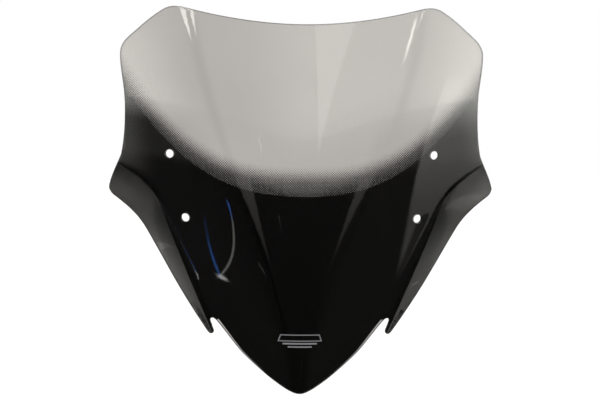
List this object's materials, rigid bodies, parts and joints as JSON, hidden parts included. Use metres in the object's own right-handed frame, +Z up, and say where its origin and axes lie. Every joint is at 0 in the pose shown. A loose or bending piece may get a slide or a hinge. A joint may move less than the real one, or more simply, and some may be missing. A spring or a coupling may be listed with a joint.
{
  "type": "motorcycle windscreen",
  "caption": "Curved touring windscreen of smoke-tinted acrylic with a black printed lower half, dotted fade, side flanges, notched lower edges and open fixing holes.",
  "frame": {"origin": "middle of the bounding box in X and Y, at the height of the lowest point", "axes": "+Z up the screen, -Y out of the convex outer face, +X across the bike, to the right as seen from the front of the outer face"},
  "size_m": [0.3838, 0.0654, 0.3869],
  "materials": {
    "smoke_acrylic": "clear smoke tint, polished",
    "black_print": "opaque screen print seen through the sheet",
    "halftone_print": "screen-printed dots that fade out upwards",
    "grey_print": "matt pad print"
  },
  "bodies": {
    "root": {"screen_sheet": "smoke_acrylic", "mask_print": "black_print", "fade_print": "halftone_print", "label_frame": "grey_print", "label_bar_upper": "grey_print", "label_bar_lower": "grey_print"}
  },
  "joints": []
}
